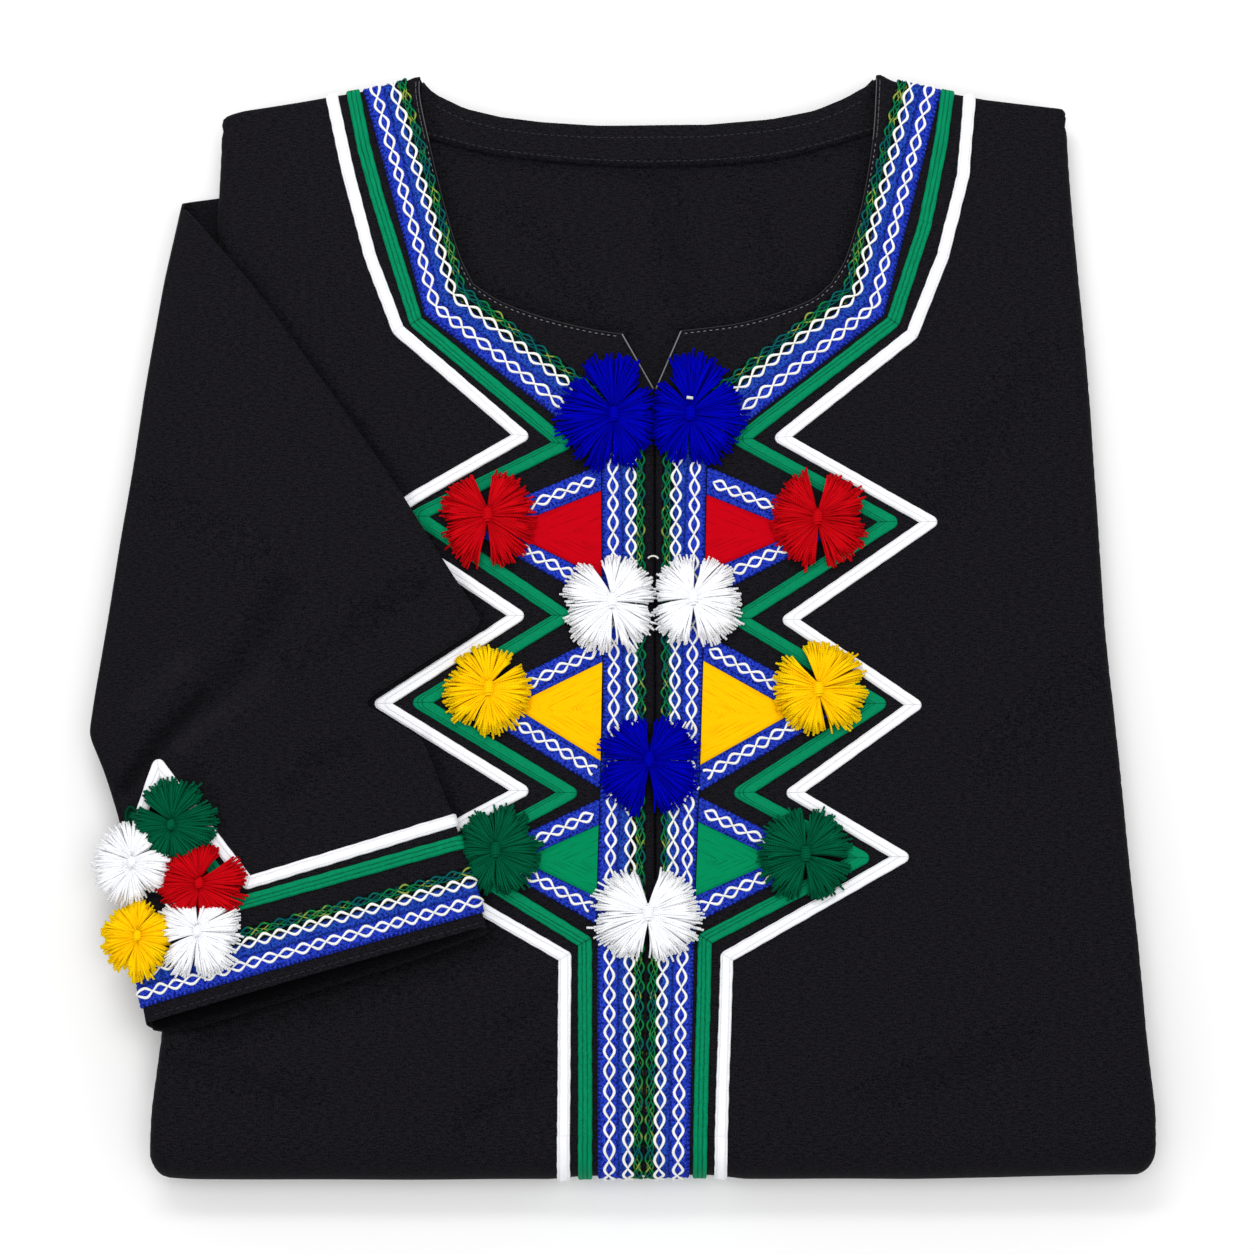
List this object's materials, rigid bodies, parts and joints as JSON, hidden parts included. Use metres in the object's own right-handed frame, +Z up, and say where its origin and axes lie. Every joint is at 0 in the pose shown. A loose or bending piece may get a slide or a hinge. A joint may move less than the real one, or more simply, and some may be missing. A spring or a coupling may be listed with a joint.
{
  "type": "folded kaftan dress",
  "caption": "Black kaftan dress folded flat, with one sleeve laid over the front, zigzag tapes, chain braid, satin points and yarn pompoms.",
  "frame": {"origin": "on the centre front line, at mid height of the folded front, on the flat underside", "axes": "+Y to the neck, +X to the side away from the folded sleeve, +Z up out of the front"},
  "size_m": [0.4623, 0.4933, 0.0461],
  "materials": {
    "cloth": "matte black twill with a soft sheen",
    "white_tape": "flat satin tape",
    "green_tape": "ribbed flat tape",
    "blue_braid": "woven braid with chain stitches",
    "red_satin": "satin stitched patch",
    "yellow_satin": "satin stitched patch",
    "green_satin": "satin stitched patch",
    "blue_yarn": "soft cut yarn",
    "red_yarn": "soft cut yarn",
    "yellow_yarn": "soft cut yarn",
    "green_yarn": "soft cut yarn",
    "white_yarn": "soft cut yarn"
  },
  "bodies": {
    "root": {"folded_layers": "cloth", "back_panel": "cloth", "back_neck_facing": "cloth", "front_panel": "cloth", "sleeve_left": "cloth", "sleeve_left_tuck": "cloth", "white_tape_left": "white_tape", "green_tape_left": "green_tape", "blue_braid_left": "blue_braid", "white_tape_right": "white_tape", "green_tape_right": "green_tape", "blue_braid_right": "blue_braid", "frame_red_left": "blue_braid", "patch_red_left": "red_satin", "frame_red_right": "blue_braid", "patch_red_right": "red_satin", "frame_yellow_left": "blue_braid", "patch_yellow_left": "yellow_satin", "frame_yellow_right": "blue_braid", "patch_yellow_right": "yellow_satin", "frame_green_left": "blue_braid", "patch_green_left": "green_satin", "frame_green_right": "blue_braid", "patch_green_right": "green_satin", "cuff_white_tape": "white_tape", "cuff_green_tape": "green_tape", "cuff_blue_braid": "blue_braid", "pompom_blue_left": "blue_yarn", "pompom_blue_right": "blue_yarn", "pompom_red_left": "red_yarn", "pompom_red_right": "red_yarn", "pompom_white_left": "white_yarn", "pompom_white_right": "white_yarn", "pompom_yellow_left": "yellow_yarn", "pompom_yellow_right": "yellow_yarn", "pompom_blue_centre": "blue_yarn", "pompom_green_left": "green_yarn", "pompom_green_right": "green_yarn", "pompom_white_centre": "white_yarn", "pompom_cuff_green": "green_yarn", "pompom_cuff_white_upper": "white_yarn", "pompom_cuff_red": "red_yarn", "pompom_cuff_yellow": "yellow_yarn", "pompom_cuff_white_lower": "white_yarn"}
  },
  "joints": []
}
